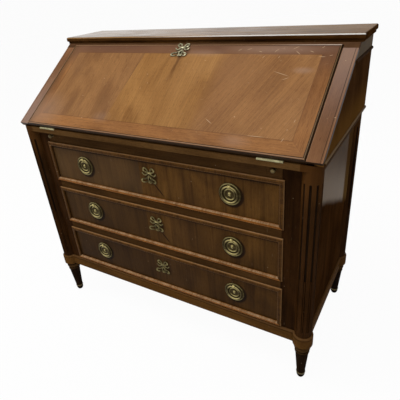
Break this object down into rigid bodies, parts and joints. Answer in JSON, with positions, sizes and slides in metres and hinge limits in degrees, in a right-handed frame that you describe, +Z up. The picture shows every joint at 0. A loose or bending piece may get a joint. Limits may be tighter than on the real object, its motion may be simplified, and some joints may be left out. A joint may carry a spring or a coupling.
{
  "type": "slant-front desk",
  "caption": "Wooden slant-front desk with a fold-down lid on pull-out lopers, long drawers with brass ring pulls, fluted corner posts and turned legs.",
  "frame": {"origin": "on the floor below the middle of the desk", "axes": "+Z up, +Y towards the back, +X to the right of a person who faces the drawers"},
  "size_m": [1.029, 0.4785, 0.9602],
  "materials": {
    "lid_veneer": "polished veneer, grain up the slope",
    "crossband_veneer": "polished cross-grain veneer",
    "top_veneer": "polished veneer",
    "case_veneer": "polished veneer",
    "drawer_veneer": "polished veneer, upright grain",
    "moulding_wood": "polished solid wood",
    "turned_wood": "polished solid wood",
    "inner_wood": "plain planed wood",
    "nest_wood": "polished wood",
    "brass": "aged cast brass",
    "leather": "tooled leather"
  },
  "bodies": {
    "carcass": {"top_board": "top_veneer", "upper_side_right": "case_veneer", "upper_side_left": "case_veneer", "slope_stiles": "crossband_veneer", "head_rail": "crossband_veneer", "upper_back_board": "inner_wood", "side_beads": "moulding_wood", "front_posts": "turned_wood", "rear_posts": "turned_wood", "writing_bed": "inner_wood", "bed_rail": "case_veneer", "bed_frame_rails": "case_veneer", "front_stiles": "case_veneer", "drawer_rails": "case_veneer", "frieze_board": "case_veneer", "side_panels": "case_veneer", "lower_back_board": "inner_wood", "bottom_board": "inner_wood", "drawer_runners": "inner_wood", "plinth": "moulding_wood", "turned_legs": "turned_wood", "leg_collars": "brass", "pigeonhole_case": "nest_wood", "hinge_fixed_leaves": "brass"},
    "lid": {"lid_panel": "lid_veneer", "lid_edge_moulding": "moulding_wood", "lid_leather": "leather", "lid_escutcheon": "brass", "lid_lock": "brass", "hinge_lid_leaves": "brass"},
    "loper_left": {"loper_left": "case_veneer", "loper_knob_left": "brass"},
    "loper_right": {"loper_right": "case_veneer", "loper_knob_right": "brass"},
    "drawer_lower": {"drawer_front_lower": "drawer_veneer", "drawer_frame_lower": "moulding_wood", "drawer_box_lower": "inner_wood", "drawer_lock_lower": "brass", "drawer_brasses_lower": "brass"},
    "ring_lower_left": {"ring_pull_lower_left": "brass"},
    "ring_lower_right": {"ring_pull_lower_right": "brass"},
    "drawer_middle": {"drawer_front_middle": "drawer_veneer", "drawer_frame_middle": "moulding_wood", "drawer_box_middle": "inner_wood", "drawer_lock_middle": "brass", "drawer_brasses_middle": "brass"},
    "ring_middle_left": {"ring_pull_middle_left": "brass"},
    "ring_middle_right": {"ring_pull_middle_right": "brass"},
    "drawer_upper": {"drawer_front_upper": "drawer_veneer", "drawer_frame_upper": "moulding_wood", "drawer_box_upper": "inner_wood", "drawer_lock_upper": "brass", "drawer_brasses_upper": "brass"},
    "ring_upper_left": {"ring_pull_upper_left": "brass"},
    "ring_upper_right": {"ring_pull_upper_right": "brass"},
    "small_drawer_1": {"small_drawer_1": "nest_wood"},
    "small_drawer_2": {"small_drawer_2": "nest_wood"},
    "small_drawer_3": {"small_drawer_3": "nest_wood"}
  },
  "joints": [
    {"name": "lid_fold", "type": "hinge", "parent": "carcass", "child": "lid", "pos_m": [0, -0.23225, 0.7236], "axis": [1, 0, 0], "range_deg": [0, 144.9]},
    {"name": "loper_left_slide", "type": "slide", "parent": "carcass", "child": "loper_left", "axis": [0, -1, 0], "range_m": [0, 0.25]},
    {"name": "loper_right_slide", "type": "slide", "parent": "carcass", "child": "loper_right", "axis": [0, -1, 0], "range_m": [0, 0.25]},
    {"name": "drawer_lower_slide", "type": "slide", "parent": "carcass", "child": "drawer_lower", "axis": [0, -1, 0], "range_m": [0, 0.34]},
    {"name": "ring_lower_left_swing", "type": "hinge", "parent": "drawer_lower", "child": "ring_lower_left", "pos_m": [-0.264, -0.21985, 0.2866], "axis": [-1, 0, 0], "range_deg": [0, 120]},
    {"name": "ring_lower_right_swing", "type": "hinge", "parent": "drawer_lower", "child": "ring_lower_right", "pos_m": [0.264, -0.21985, 0.2866], "axis": [-1, 0, 0], "range_deg": [0, 120]},
    {"name": "drawer_middle_slide", "type": "slide", "parent": "carcass", "child": "drawer_middle", "axis": [0, -1, 0], "range_m": [0, 0.34]},
    {"name": "ring_middle_left_swing", "type": "hinge", "parent": "drawer_middle", "child": "ring_middle_left", "pos_m": [-0.264, -0.21985, 0.4562], "axis": [-1, 0, 0], "range_deg": [0, 120]},
    {"name": "ring_middle_right_swing", "type": "hinge", "parent": "drawer_middle", "child": "ring_middle_right", "pos_m": [0.264, -0.21985, 0.4562], "axis": [-1, 0, 0], "range_deg": [0, 120]},
    {"name": "drawer_upper_slide", "type": "slide", "parent": "carcass", "child": "drawer_upper", "axis": [0, -1, 0], "range_m": [0, 0.34]},
    {"name": "ring_upper_left_swing", "type": "hinge", "parent": "drawer_upper", "child": "ring_upper_left", "pos_m": [-0.264, -0.21985, 0.6258], "axis": [-1, 0, 0], "range_deg": [0, 120]},
    {"name": "ring_upper_right_swing", "type": "hinge", "parent": "drawer_upper", "child": "ring_upper_right", "pos_m": [0.264, -0.21985, 0.6258], "axis": [-1, 0, 0], "range_deg": [0, 120]},
    {"name": "small_drawer_1_slide", "type": "slide", "parent": "carcass", "child": "small_drawer_1", "axis": [0, -1, 0], "range_m": [0, 0.12]},
    {"name": "small_drawer_2_slide", "type": "slide", "parent": "carcass", "child": "small_drawer_2", "axis": [0, -1, 0], "range_m": [0, 0.12]},
    {"name": "small_drawer_3_slide", "type": "slide", "parent": "carcass", "child": "small_drawer_3", "axis": [0, -1, 0], "range_m": [0, 0.12]}
  ]
}
